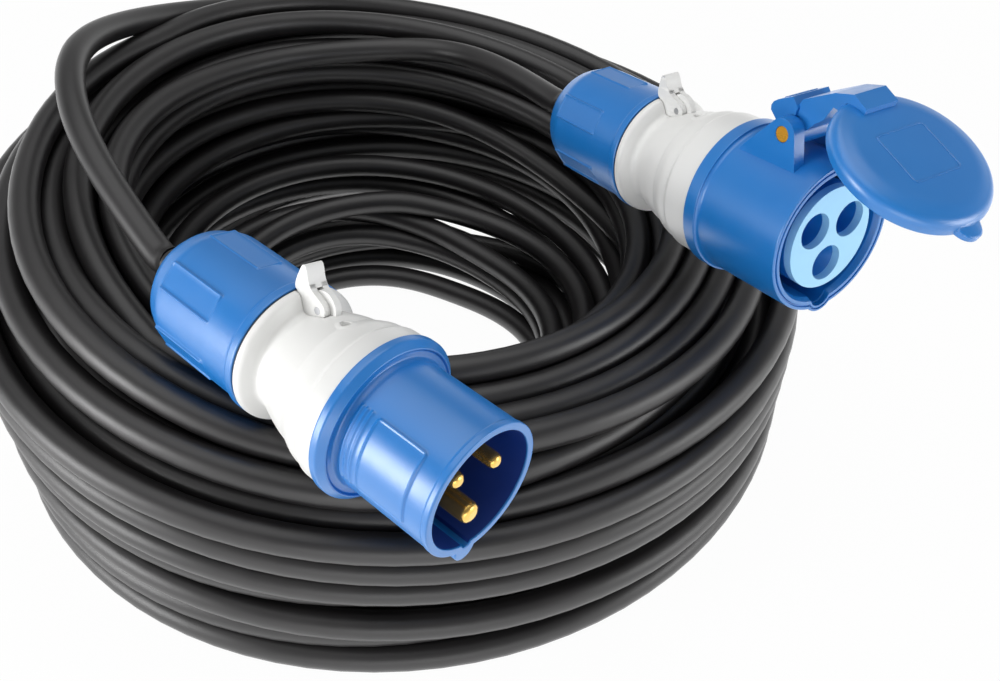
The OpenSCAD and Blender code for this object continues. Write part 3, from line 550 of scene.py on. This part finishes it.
shroud = outline(
    [(22.1, 0, .55, 4, 21.8), (22.1, 2.0, .25, 4, 21.8), (21.8, 2.5, .2, 4, 21.8),
     (21.8, 35.6, .7, 4, 21.8), (22.4, 37.0, .5, 3.6, 21.8), (24.4, 37.3, .4), (24.9, 36.5, .25),
     (25.4, 36.5, .3), (27.5, 38.7, .5), (27.5, 41.5, .6)],
    [(23.6, 41.5, .15), (23.6, 38, .1), (19.6, 38, .1, 2, 19), (19.6, 0, .4, 2, 19)])
head_piece("plug_shroud", PLUG,
           [revolved(finely(shroud, [8.5, 9.2, 27.3, 28, 30.4, 32.4, 34.2], reach=0.6),
                     around([138.5, 140.5, 203.5, 205.5], [(4, 21.8), (2, 19)]), shroud_relief)],
           "cord", "plug_front_housing", "blue_plastic")

# Gland nut: proud front rim, tapered rear end, six flats cut a little askew so that one long
# edge stands proud, each with a fine bead along its other edge
PADS = [149 + 60 * k for k in range(6)]


def nut_relief(r, depth, a):
    for pad in PADS:
        off = (a - math.radians(pad) + math.pi) % (2 * math.pi) - math.pi
        flat = 22.444 / np.cos(np.clip(off - math.radians(4), -1, 1))
        inside = within(flat * np.sin(off), depth - 26.1, 5, 12.5, 0.7)
        share = smooth_step(inside / 0.35 + 0.5) * (np.abs(off) < 0.5)
        bead = 0.4 * ridge(flat * np.sin(off) - 4.6, 0.12, 0.3) + 0.2 * ridge(inside - 0.5, 0.1, 0.25)
        r = r + share * (flat + bead - r)
    return r


nut = outline([(23.8, -2.4, .5), (23.8, .6, .4), (22.9, 1.1, .2), (22.75, 1.9, .3), (22.8, 38.2, 1.6),
               (20.2, 45, 1.6), (15.6, 50.4, 1.4), (13.2, 51.6, .8), (9, 51.8, .5), (8.2, 51, .3)],
              [(6.2, 50.4, .5), (6.2, 39, .1), (15.3, 39, .1), (15.3, 23, .1), (19.56, 23, .1),
               (19.56, -2.4, .4)])
nut_rows = finely(nut, [13.6, 38.6], reach=1.0)
nut_columns = around([pad + side for pad in PADS for side in (-12.8, 12.8)], reach=2.6, fine=0.65)

# Seal: a flat ring that stands between the collar and the nut's front rim
seal = outline([(23.25, -3.2, .2), (23.25, -2.4, .2)], [(19.6, -2.4, .05), (19.6, -3.2, .05)])

# Rear body: two soft shoulders down to the neck, rounded collar, threaded spigot, pocket for
# the lever, small vent hole


def rear_outline(straight):
    s = straight
    return finely(outline(
        [(23.5, -1.8, .2), (23.5, 0, .05), (26.8, 0, .3), (26.8, s - 2.6, 1.2), (25.9, s - 1.4, 1.0),
         (25.7, s + 2.6, 2.2), (24.1, s + 6.6, 1.2), (23.4, s + 7.8, .9), (22.6, s + 12.4, 3),
         (20.6, s + 19, 4), (18.8, s + 23, 3), (18.6, s + 25.6, 1.2), (21.4, s + 26.8, 1.0),
         (23.5, s + 28.2, 1.2), (23.7, s + 30.6, .4), (19.5, s + 30.6, .05), (19.5, s + 53.8, .4)],
        [(14, s + 53.8, .3), (14, s + 40, .1), (15.9, s + 37, .1), (15.9, s + 15, .1),
         (16.4, s + 10, .1), (21, s, .1), (21, -1.8, .2)]),
        [s + 16.5, s + 28, s + 8] + list(np.arange(s + 34.5, s + 54, 1.0)), coarse=1.0, reach=1.0)


def rear_relief(straight):
    def relief(r, depth, a):
        neck, x, turns = straight + 25, r * np.cos(a), depth / 3 + a / (2 * math.pi)
        thread = 0.5 * smooth_step(np.abs(2 * (turns % 1) - 1) * 1.6 - 0.2)
        r = np.where(depth > straight + 34, r - 0.05 - thread, r)
        pocket = smooth_step((3.8 - np.abs(x)) / 0.3) * smooth_step((depth - neck + 8.5) / 0.4) \
            * smooth_step((neck + 5.6 - depth) / 0.3) * (np.sin(a) > 0.5)
        r = r + pocket * np.minimum(16.8 / np.maximum(np.sin(a), 0.5) - r, 0)
        off = np.hypot((a - math.radians(98)) * r, depth - straight - 8)
        return r + 0.35 * ridge(off, 2.2, 1.2) - 2.6 * smooth_step((1.5 - off) / 0.4)
    return relief


rear_columns = around([90 - 12, 90 + 12, 98], fine=0.55, reach=4.5, coarse=2.6)

# Latch lever: two plates astride the ear, which meet in one solid horn beyond it
HORN = [(-3.4 * math.cos(math.radians(a)), 3.4 * math.sin(math.radians(a))) for a in (-90, -45, 0, 45)] \
    + [(0.6, 3.9), (3.5, 5.1), (5.6, 7.3), (6.9, 10.0), (8.0, 11.4), (9.3, 10.9), (10.4, 7.4),
       (10.9, 4.6), (10.5, 2.9), (9.3, 1.9), (9.1, -1.4), (7.0, -3.6), (3.5, -3.7)]


def lever_parts(head):
    """Two plates, which are the horn's outline drawn in to 8 mm from the pin, and the solid
    horn, which is the outline's part beyond 6.7 mm, closed by an arc of that radius."""
    horn = through(HORN + HORN[:1], 5)[:-1]

    def at(loop):
        return np.asarray(loop) + [head.lever_at, 21.3]
    hole = circle(1.26, corners=32)
    far = np.hypot(horn[:, 0], horn[:, 1])[:, None]
    plate, solid = horn * np.minimum(1, 8 / far), horn[far[:, 0] > 6.7]
    ends = [math.degrees(math.atan2(solid[i, 1], solid[i, 0])) for i in (-1, 0)]
    a = np.radians(np.linspace(*ends, 12))
    solid = np.vstack([solid, 6.7 * np.stack([np.cos(a), np.sin(a)], 1)])
    return [slab([at(plate), at(hole)], 1.2, 3.4, True), slab([at(plate), at(hole)], -3.4, -1.2, True),
            slab([at(solid)], -3.45, 3.45, True)]


def ear_parts(head):
    """The ear between the plates, a disc on a foot that stands in the pocket."""
    loop = hull_of([(head.lever_at, 21.3, 5.9)], [(head.lever_at - 5.6, 16.4), (head.lever_at + 5.9, 16.4)])
    return [slab([loop, circle(1.22, head.lever_at, 21.3, 32)], -1.1, 1.1, True)]


for head in (PLUG, CONNECTOR):
    def behind(points, by=head.nut_at):
        return points - [0, 0, by]

    def rear_place(points, by=head.white_at):
        return points - [0, 0, by]
    head_piece(f"{head.name}_nut", head, [revolved(nut_rows, nut_columns, nut_relief)],
               f"{head.name}_nut", f"{head.name}_gland_nut", "blue_plastic", behind)
    head_piece(f"{head.name}_back", head,
               [revolved(rear_outline(head.straight), rear_columns, rear_relief(head.straight))],
               "cord", f"{head.name}_rear_body", "white_plastic", rear_place)
    head_piece(f"{head.name}_seal", head, [revolved(seal, around())], "cord",
               f"{head.name}_nut_seal", "seal_rubber", behind)
    head_piece(f"{head.name}_ear", head, ear_parts(head), "cord", None, "white_plastic", bevel=0.3)
    head_piece(f"{head.name}_horn", head, lever_parts(head), f"{head.name}_lever",
               f"{head.name}_latch_lever", "white_plastic", bevel=0.45)

# Contact pins: round-nosed, on a thicker root, with the terminal barrel behind the floor
for name, angle, radius in CONTACTS:
    tip = 0.6 if name == "earth" else 2.3
    rows = outline([(0.2, tip, 0), (0.5 * radius, tip + .05, .3), (0.86 * radius, tip + .65, .5),
                    (radius, tip + 1.9, .9), (radius, 36.2, .1), (radius + .4, 36.3, .1),
                    (radius + .4, 39.3, .1), (radius + 1.9, 39.4, .2), (radius + 1.9, 52.2, .3),
                    (0.2, 52.2, 0)], closed=False)
    along = np.array([*on_contact_circle(angle), 0])
    head_piece(f"plug_{name}_contact", PLUG, [revolved(rows, np.arange(0, 360, 7.5), closed=False)], "cord",
               f"plug_{name}_pin", "brass", lambda points, by=along: points + by)

# Connector body: grooved rim, key way and its nose, stepped ring at the back, hinge ears
NOSE, WAY = 6.7, 4.5
collar = outline(
    [(24.9, 0.1, .1, 5.3, 21.8), (25.1, 0.8, .1, 5.45, 21.8), (25.5, 0.8, .1, 5.75, 21.8),
     (25.7, 0, .12, 5.9, 21.8), (26.8, 0, .5, NOSE, 21.8), (26.8, 26.5, .2, NOSE, 21.8),
     (26.8, 29.5, .2, 4.6, 21.8), (26.8, 35.9, .3), (27.05, 36.5, .2), (27.5, 37, .3), (28.1, 37, .45),
     (28.1, 42.5, .6)],
    [(23.6, 42.5, .15), (23.6, 40, .1), (22.7, 40, .1), (22.7, 2.2, .2, WAY, 21.8),
     (23.7, 0.1, .25, WAY, 21.8)])
ear = hull_of([(*HINGE, 5.3), (30, 24.6, 2.5)], [(9, 19), (9, 23), (35, 19), (35.5, 22)])
ears = [slab([ear, circle(2.75, *HINGE, 48)], *sorted((side * 8.4, side * 13)), True)
        for side in (-1, 1)]
head_piece("connector_collar", CONNECTOR,
           [revolved(finely(collar, [26.5, 29.5]), around((), [(NOSE, 21.8), (WAY, 21.8)], coarse=2.0))],
           "cord", "connector_housing", "blue_plastic")
head_piece("connector_hinge_ears", CONNECTOR, ears, "cord", None, "blue_plastic", bevel=0.5)
head_piece("connector_face", CONNECTOR,
           [slab([circle(18.4, corners=128)] + [circle(6.4, *on_contact_circle(angle))[::-1]
                                                for _, angle, _ in CONTACTS], -3.5, -0.5)],
           "cord", "connector_face_plate", "pale_blue_plastic", bevel=0.45)

# Lid: domed cap with a broad bevel and a nose, bare panel outline, arm with its hump, hub,
# thumb tab with three grips. Drawn closed, then turned open about the hinge.


def opened(points, open_by=63.0):
    """The points of the closed lid turned about the hinge by the rest angle, in degrees."""
    hinge, a = np.array([0, HINGE[1], -HINGE[0]]), math.radians(open_by)
    c, s = math.cos(a), math.sin(a)
    return (points - hinge) @ np.array([[1, 0, 0], [0, c, s], [0, -s, c]]).T + hinge


def block(corners, half):
    """A bar across the axis from corners given as height and distance before the mouth."""
    return slab([np.asarray(corners)[:, ::-1] * [-1, 1]], -half, half, True)


cap = outline(
    [(0.5, -7.1, 0), (12, -7.0, 4), (20.6, -6.75, 1.6), (24.9, -5.6, 1.4), (26.4, -3.6, 1.1, 5, 25.4),
     (26.4, -0.4, .5, 5, 25.4), (25, -0.4, .15)],
    [(25, -2, .1), (22.4, -2, .1), (22.4, -4.6, .4), (0.5, -4.6, 0)], closed=False)
arm = [(31.4, -14.4), (29.8, -9), (28.0, -5.5), (27.6, 0.4), (25.2, 1.0), (24.8, 4.9), (17.4, 4.9),
       (18.2, 8.5), (24.4, 8.8), (30, 4.2), (38, -6), (38.8, -16.4)]
tab = [(34.4, -20.8), (45.5, -17.4), (46.3, -16.1), (46.2, -14.4), (45.2, -12.6), (41.0, -7.4), (37.4, -9.0)]
grips = [slab([circle(0.55, 12.9 - 4.9 * f, 45.0 - 3.7 * f, 16)], -5.2, 5.2, True)
         for f in (0.12, 0.42, 0.72)]
hub = slab([circle(4.6, *HINGE), circle(1.9, *HINGE, 48)], -8.1, 8.1, True)
panel = slab([rounded_box(21, 19, 1.5), rounded_box(20, 18, 1.1)[::-1]], 6.7, 7.12)
head_piece("lid_cap", CONNECTOR,
           [revolved(cap, around((), [(5, 25.4)], coarse=2.5), closed=False), panel],
           "lid", "connector_lid", "blue_plastic", opened)
head_piece("lid_arm", CONNECTOR, [block(arm, 7.1), hub, block(tab, 8.1)] + grips,
           "lid", None, "blue_plastic", opened, bevel=0.6)

# ---------------------------------------------------------------- materials


def linear(code):
    """An sRGB hex colour as linear red, green, blue and 1."""
    c = np.array([int(code[i:i + 2], 16) for i in (1, 3, 5)]) / 255
    return (*np.where(c <= 0.04045, c / 12.92, ((c + 0.055) / 1.055) ** 2.4), 1.0)


def add(tree, kind, settings=None, **sockets):
    """A node with its settings, and its inputs given as values or as other nodes' outputs."""
    node = tree.nodes.new(kind)
    for key, value in (settings or {}).items():
        setattr(node, key, value)
    for key, value in sockets.items():
        socket = node.inputs[int(key[1:])] if key[0] == "i" and key[1:].isdigit() else \
            node.inputs[key.replace("_", " ")]
        if isinstance(value, bpy.types.NodeSocket):
            tree.links.new(value, socket)
        else:
            socket.default_value = value
    return node


def material(name):
    made = bpy.data.materials.new(name)
    made.use_nodes = True
    shader = made.node_tree.nodes["Principled BSDF"]
    return made, made.node_tree, shader


# EPR/CR sheath rubber, extruded and talced: near black, soft broad highlight, paler where
# it has been handled, with fine lines along its length and a dusty bloom
def sheath_rubber():
    made, tree, shader = material("extruded_chloroprene_rubber")
    place = add(tree, "ShaderNodeTexCoord").outputs["Object"]
    uv = add(tree, "ShaderNodeUVMap", {"uv_map": "surface"}).outputs["UV"]
    lines = add(tree, "ShaderNodeMapping", None, Vector=uv, Scale=(34, 9, 1)).outputs[0]
    streak = add(tree, "ShaderNodeTexNoise", None, Vector=lines, Scale=1.0, Detail=3.0).outputs[0]
    bloom = add(tree, "ShaderNodeTexNoise", None, Vector=place, Scale=26.0, Detail=4.0).outputs[0]
    grit = add(tree, "ShaderNodeTexNoise", None, Vector=place, Scale=1400.0, Detail=2.0).outputs[0]
    both = add(tree, "ShaderNodeMath", {"operation": "MULTIPLY_ADD"}, i0=streak, i1=0.45, i2=bloom)
    tone = add(tree, "ShaderNodeMapRange", None, Value=both.outputs[0], From_Min=0.45, From_Max=0.95)
    colour = add(tree, "ShaderNodeMix", {"data_type": "RGBA"}, Factor=tone.outputs[0])
    colour.inputs[6].default_value, colour.inputs[7].default_value = linear("#0d0c0e"), linear("#1e1c1d")
    tree.links.new(colour.outputs[2], shader.inputs["Base Color"])
    rough = add(tree, "ShaderNodeMapRange", None, Value=bloom, To_Min=0.38, To_Max=0.5)
    tree.links.new(rough.outputs[0], shader.inputs["Roughness"])
    bump = add(tree, "ShaderNodeBump", None, Height=grit, Strength=0.12, Distance=0.0001)
    tree.links.new(bump.outputs[0], shader.inputs["Normal"])
    shader.inputs["IOR"].default_value = 1.58
    return made


def moulded(name, hex_a, hex_b, rough, shine=0.5):
    """Injection-moulded plastic: one colour that drifts over about 30 mm with the flow of the
    melt, a spark-eroded grain of about 1 mm (drawn coarser than it is, to show at all), and
    rubbed spots of about 7 mm that are a little smoother."""
    made, tree, shader = material(name)
    place = add(tree, "ShaderNodeTexCoord").outputs["Object"]
    flow = add(tree, "ShaderNodeTexNoise", None, Vector=place, Scale=35.0, Detail=3.0).outputs[0]
    colour = add(tree, "ShaderNodeMix", {"data_type": "RGBA"}, Factor=flow)
    colour.inputs[6].default_value, colour.inputs[7].default_value = linear(hex_a), linear(hex_b)
    tree.links.new(colour.outputs[2], shader.inputs["Base Color"])
    rub = add(tree, "ShaderNodeTexNoise", None, Vector=place, Scale=140.0, Detail=4.0).outputs[0]
    ranged = add(tree, "ShaderNodeMapRange", None, Value=rub, To_Min=rough - 0.06, To_Max=rough + 0.08)
    tree.links.new(ranged.outputs[0], shader.inputs["Roughness"])
    spark = add(tree, "ShaderNodeTexNoise", None, Vector=place, Scale=900.0, Detail=2.0).outputs[0]
    bump = add(tree, "ShaderNodeBump", None, Height=spark, Strength=0.25, Distance=0.02 * MM)
    tree.links.new(bump.outputs[0], shader.inputs["Normal"])
    shader.inputs["IOR"].default_value = 1.53
    shader.inputs["Specular IOR Level"].default_value = shine
    return made


def machined(name, hex_a, hex_b, rough, metallic=1.0):
    """Turned metal: marks a quarter of a millimetre apart and a slightly uneven tarnish."""
    made, tree, shader = material(name)
    place = add(tree, "ShaderNodeTexCoord").outputs["Object"]
    tarnish = add(tree, "ShaderNodeTexNoise", None, Vector=place, Scale=260.0, Detail=4.0).outputs[0]
    colour = add(tree, "ShaderNodeMix", {"data_type": "RGBA"}, Factor=tarnish)
    colour.inputs[6].default_value, colour.inputs[7].default_value = linear(hex_a), linear(hex_b)
    tree.links.new(colour.outputs[2], shader.inputs["Base Color"])
    ranged = add(tree, "ShaderNodeMapRange", None, Value=tarnish, To_Min=rough - 0.05, To_Max=rough + 0.1)
    tree.links.new(ranged.outputs[0], shader.inputs["Roughness"])
    marks = add(tree, "ShaderNodeTexNoise", None, Vector=place, Scale=4000.0, Detail=1.0).outputs[0]
    bump = add(tree, "ShaderNodeBump", None, Height=marks, Strength=0.15, Distance=0.00002)
    tree.links.new(bump.outputs[0], shader.inputs["Normal"])
    shader.inputs["Metallic"].default_value = metallic
    return made


RUBBER = sheath_rubber()
# Polyamide, moulded: a satin skin, glossier on the blue than on the white and the pale insert
BLUE = moulded("moulded_blue_polyamide", "#0f70be", "#1478c6", 0.33, shine=0.8)
# The dark blue also paints shade on the inside of the plug's shroud
DEEP_BLUE_AND_PAINTED_SHADE = moulded("moulded_dark_blue_polyamide_and_painted_shade", "#102f7c", "#143888", 0.42)
PALE_BLUE = moulded("moulded_pale_blue_polyamide", "#9fdbff", "#a8e0ff", 0.4)
WHITE = moulded("moulded_white_polyamide", "#e3e3e1", "#e9e9e7", 0.38)
# Nitrile rubber, moulded: dull and nearly black
SEAL = moulded("moulded_nitrile_rubber", "#1d1f24", "#26282d", 0.55)
# Free-cutting brass, turned: bright and warm. The hinge pin's end is lacquered, so deeper
BRASS = machined("turned_brass", "#e2bd6c", "#d2a851", 0.22, metallic=0.85)
PIN_HEAD = machined("turned_brass_lacquered", "#f2b544", "#e59f2c", 0.25, metallic=0.5)
# Steel screws with a zinc plating: pale, cool grey
STEEL = machined("zinc_plated_steel", "#b9babd", "#a9aaae", 0.32)
# PVC insulation, extruded: even and slightly waxy
BROWN_WIRE = moulded("extruded_brown_pvc", "#5f3a22", "#6a4228", 0.4)
BLUE_WIRE = moulded("extruded_blue_pvc", "#2a55b5", "#2f5cc0", 0.4)
GREEN_WIRE = moulded("extruded_green_yellow_pvc", "#5a9a2c", "#66a834", 0.4)


def coat_with(obj, made):
    obj.data.materials.clear()
    obj.data.materials.append(made)


FINISH = {"cable_rubber": RUBBER, "seal_rubber": SEAL, "blue_plastic": BLUE,
          "dark_blue_plastic": DEEP_BLUE_AND_PAINTED_SHADE, "pale_blue_plastic": PALE_BLUE, "white_plastic": WHITE,
          "brass": BRASS, "steel": STEEL, "wire_brown": BROWN_WIRE, "wire_blue": BLUE_WIRE,
          "wire_green": GREEN_WIRE}
for obj, slot in finished:
    coat_with(obj, FINISH[slot])
for part in frame["record"]["subparts"]:
    if not nodes[part["node"]].hide_render:
        coat_with(nodes[part["node"]], FINISH[part["material_slot"]])
coat_with(nodes["lid_hinge_pin"], PIN_HEAD)

# Painted shade: the shroud's inside, the faces nearer to the axis than 20.4 mm behind the lip, takes the
# darker blue
shroud_with_painted_shade = bpy.data.objects["plug_shroud"].data
shroud_with_painted_shade.materials.append(DEEP_BLUE_AND_PAINTED_SHADE)
middles = np.empty(3 * len(shroud_with_painted_shade.polygons), np.float32)
shroud_with_painted_shade.polygons.foreach_get("center", middles)
middles = (middles.reshape(-1, 3) / MM - PLUG.mouth) @ PLUG.turn
inside = (np.hypot(middles[:, 0], middles[:, 1]) < 20.4) & (middles[:, 2] < -0.9)
shroud_with_painted_shade.polygons.foreach_set("material_index", inside.astype(np.int32))

# ---------------------------------------------------------------- floor and light

floor_mesh = bpy.data.meshes.new("floor")
floor_mesh.from_pydata([(-3, -3, 0), (3, -3, 0), (3, 3, 0), (-3, 3, 0)], [], [(0, 1, 2, 3)])
floor = bpy.data.objects.new("floor", floor_mesh)
bpy.context.scene.collection.objects.link(floor)
# Pure white to the camera but for a soft share of the object's shadow, a lit table to what
# mirrors it, plain white to the rest
paint, tree, shader = material("white_studio_floor")
shader.inputs["Base Color"].default_value = linear("#eeeeee")
shader.inputs["Roughness"].default_value = 0.9
ray = add(tree, "ShaderNodeLightPath").outputs
level = add(tree, "ShaderNodeMath", {"operation": "MULTIPLY_ADD"}, i0=ray["Is Glossy Ray"], i1=0.7, i2=1.0)
glow = add(tree, "ShaderNodeEmission", None, Strength=level.outputs[0]).outputs[0]
shown = add(tree, "ShaderNodeMath", {"operation": "MAXIMUM"}, i0=ray["Is Camera Ray"],
            i1=ray["Is Glossy Ray"])
most = add(tree, "ShaderNodeMath", {"operation": "MULTIPLY"}, i0=shown.outputs[0], i1=0.97).outputs[0]
mixed = add(tree, "ShaderNodeMixShader", None, i0=most, i1=shader.outputs[0], i2=glow).outputs[0]
tree.links.new(mixed, tree.nodes["Material Output"].inputs["Surface"])
coat_with(floor, paint)

world = bpy.data.worlds.new("studio")
world.use_nodes = True
bpy.context.scene.world = world
# An even room, white to the camera, which mirrors brighter towards the horizon
tree = world.node_tree
way = add(tree, "ShaderNodeSeparateXYZ", None, i0=add(tree, "ShaderNodeTexCoord").outputs["Generated"])
low = add(tree, "ShaderNodeMapRange", None, Value=way.outputs["Z"], From_Max=0.5, To_Min=0.9, To_Max=0.0)
ray = add(tree, "ShaderNodeLightPath").outputs
level = add(tree, "ShaderNodeMath", {"operation": "MULTIPLY_ADD"}, i0=ray["Is Glossy Ray"], i1=low.outputs[0],
            i2=0.3)
level = add(tree, "ShaderNodeMath", {"operation": "MAXIMUM"}, i0=level.outputs[0], i1=ray["Is Camera Ray"])
tree.nodes["Background"].inputs[0].default_value = (1, 1, 1, 1)
tree.links.new(level.outputs[0], tree.nodes["Background"].inputs[1])


def soft_box(name, place, aim, width, height, power):
    """An area lamp at place, turned to aim, in metres and watts."""
    lamp = bpy.data.lights.new(name, "AREA")
    lamp.shape, lamp.size, lamp.size_y, lamp.energy = "RECTANGLE", width, height, power
    obj = bpy.data.objects.new(name, lamp)
    bpy.context.scene.collection.objects.link(obj)
    obj.location = place
    obj.rotation_euler = (Vector(aim) - Vector(place)).to_track_quat("-Z", "Y").to_euler()


soft_box("key", (-0.8, -0.45, 0.23), (0, -0.1, 0.1), 0.32, 0.42, 5.4)
soft_box("front", (0.1, -1.15, 0.2), (0, -0.1, 0.05), 0.8, 0.3, 2.2)
soft_box("right", (0.95, -0.35, 0.24), (0.1, -0.05, 0.08), 0.45, 0.4, 3.0)
soft_box("top", (-0.1, 0.1, 1.3), (0, 0, 0.08), 1.6, 1.2, 9.0)

bpy.context.scene.view_settings.view_transform = "Standard"
